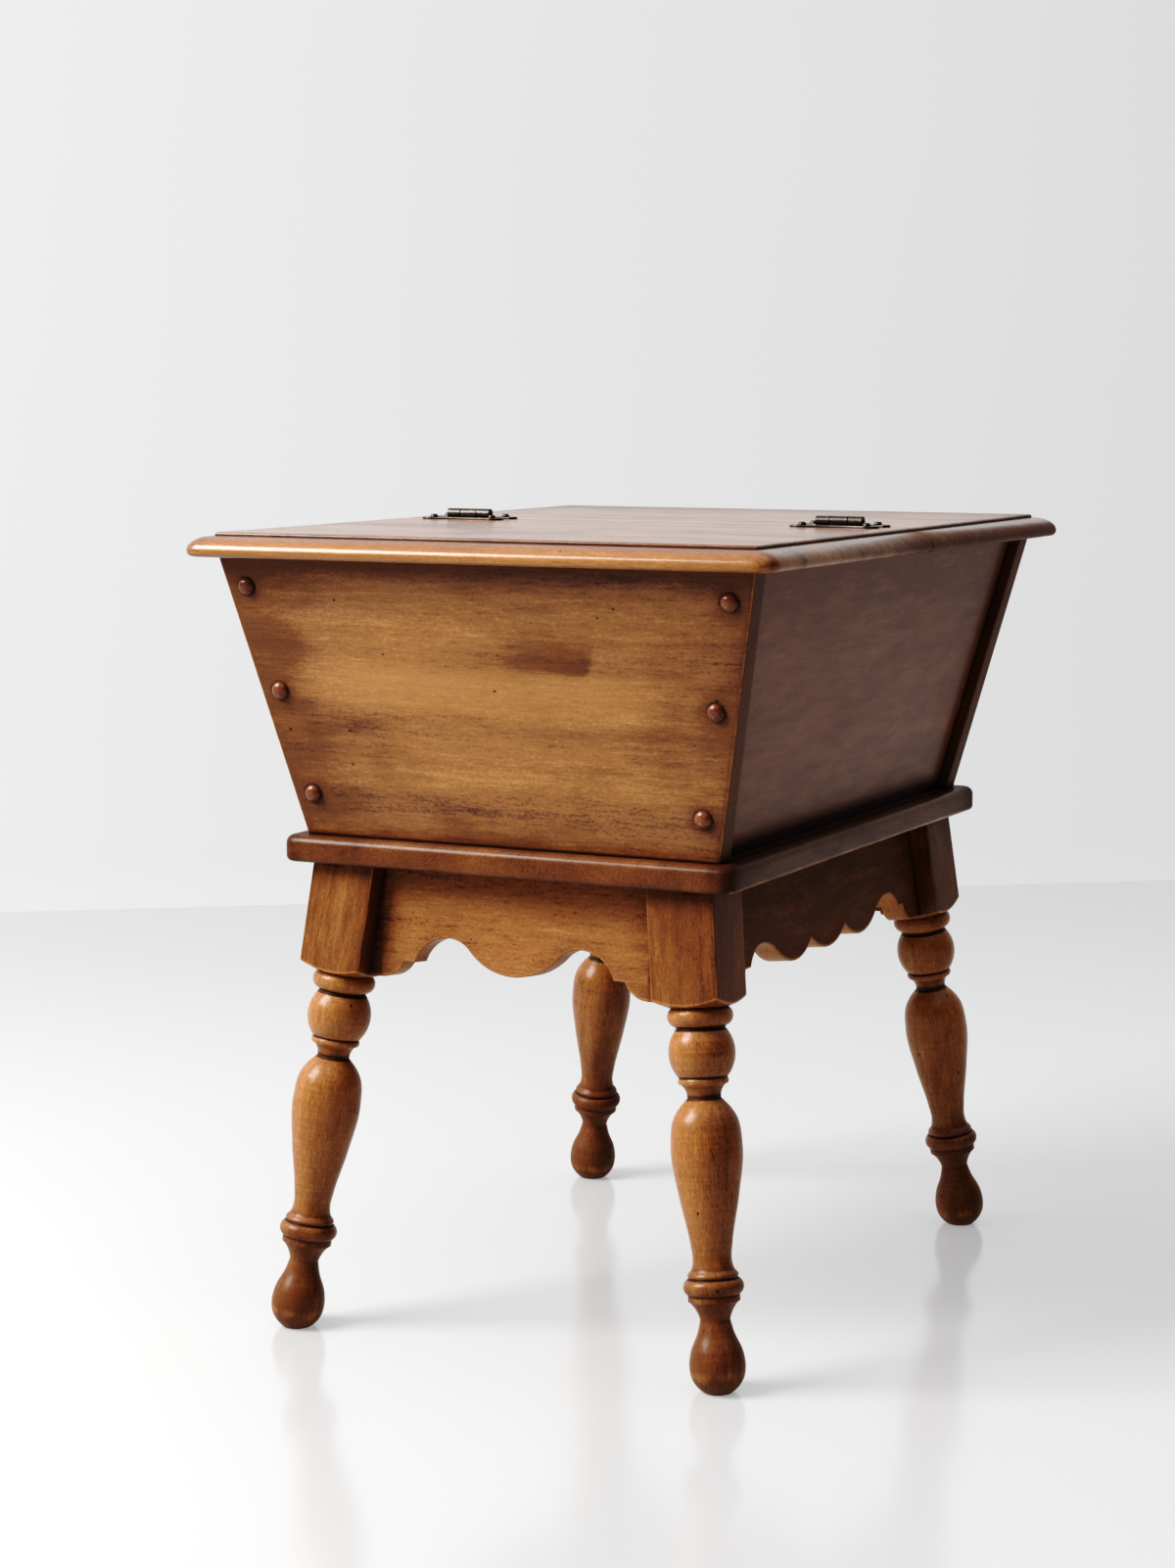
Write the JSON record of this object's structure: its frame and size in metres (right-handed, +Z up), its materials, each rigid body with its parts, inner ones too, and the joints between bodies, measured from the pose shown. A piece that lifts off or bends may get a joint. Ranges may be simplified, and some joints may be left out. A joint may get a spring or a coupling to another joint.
{
  "type": "dough box end table",
  "caption": "Storage box with leaning pegged walls on a stand with splayed turned legs and scalloped aprons; half of its top lifts on hinges that lie on top.",
  "frame": {"origin": "on the floor, under the middle of the table", "axes": "X runs across the short way, +Y from the front end, where the lid is, to the rear end, and Z up"},
  "size_m": [0.438, 0.568, 0.5676],
  "materials": {
    "turned_maple": "satin nutmeg stain",
    "apron_maple": "satin nutmeg stain",
    "plain_maple": "unfinished",
    "case_maple": "satin nutmeg stain",
    "moulding_maple": "satin nutmeg stain",
    "peg_maple": "satin nutmeg stain",
    "top_maple": "satin nutmeg stain",
    "antique_brass": "antique, blackened in the recesses",
    "antique_pin": "antique",
    "antique_screw": "antique",
    "plain_screw": "plain"
  },
  "bodies": {
    "table": {"base_board": "moulding_maple", "box_screws": "plain_screw", "fixed_hinge_screws": "antique_screw", "fixed_top_board": "top_maple", "front_apron": "apron_maple", "front_end_board": "case_maple", "front_left_leg": "turned_maple", "front_pegs": "peg_maple", "front_right_leg": "turned_maple", "front_stand_cleat": "plain_maple", "left_apron": "apron_maple", "left_hinge_fixed_leaf": "antique_brass", "left_hinge_pin": "antique_pin", "left_side_board": "case_maple", "left_stand_cleat": "plain_maple", "left_top_cleat": "plain_maple", "rear_apron": "apron_maple", "rear_end_board": "case_maple", "rear_left_leg": "turned_maple", "rear_pegs": "peg_maple", "rear_right_leg": "turned_maple", "rear_stand_cleat": "plain_maple", "right_apron": "apron_maple", "right_hinge_fixed_leaf": "antique_brass", "right_hinge_pin": "antique_pin", "right_side_board": "case_maple", "right_stand_cleat": "plain_maple", "right_top_cleat": "plain_maple", "stand_screws": "plain_screw", "top_cleat_screws": "plain_screw"},
    "lid": {"lid_board": "top_maple", "left_hinge_lid_leaf": "antique_brass", "right_hinge_lid_leaf": "antique_brass", "lid_hinge_screws": "antique_screw"}
  },
  "joints": [
    {"name": "lid_hinge", "type": "hinge", "parent": "table", "child": "lid", "pos_m": [0, 0, 0.564], "axis": [-1, 0, 0], "range_deg": [0, 180]}
  ]
}
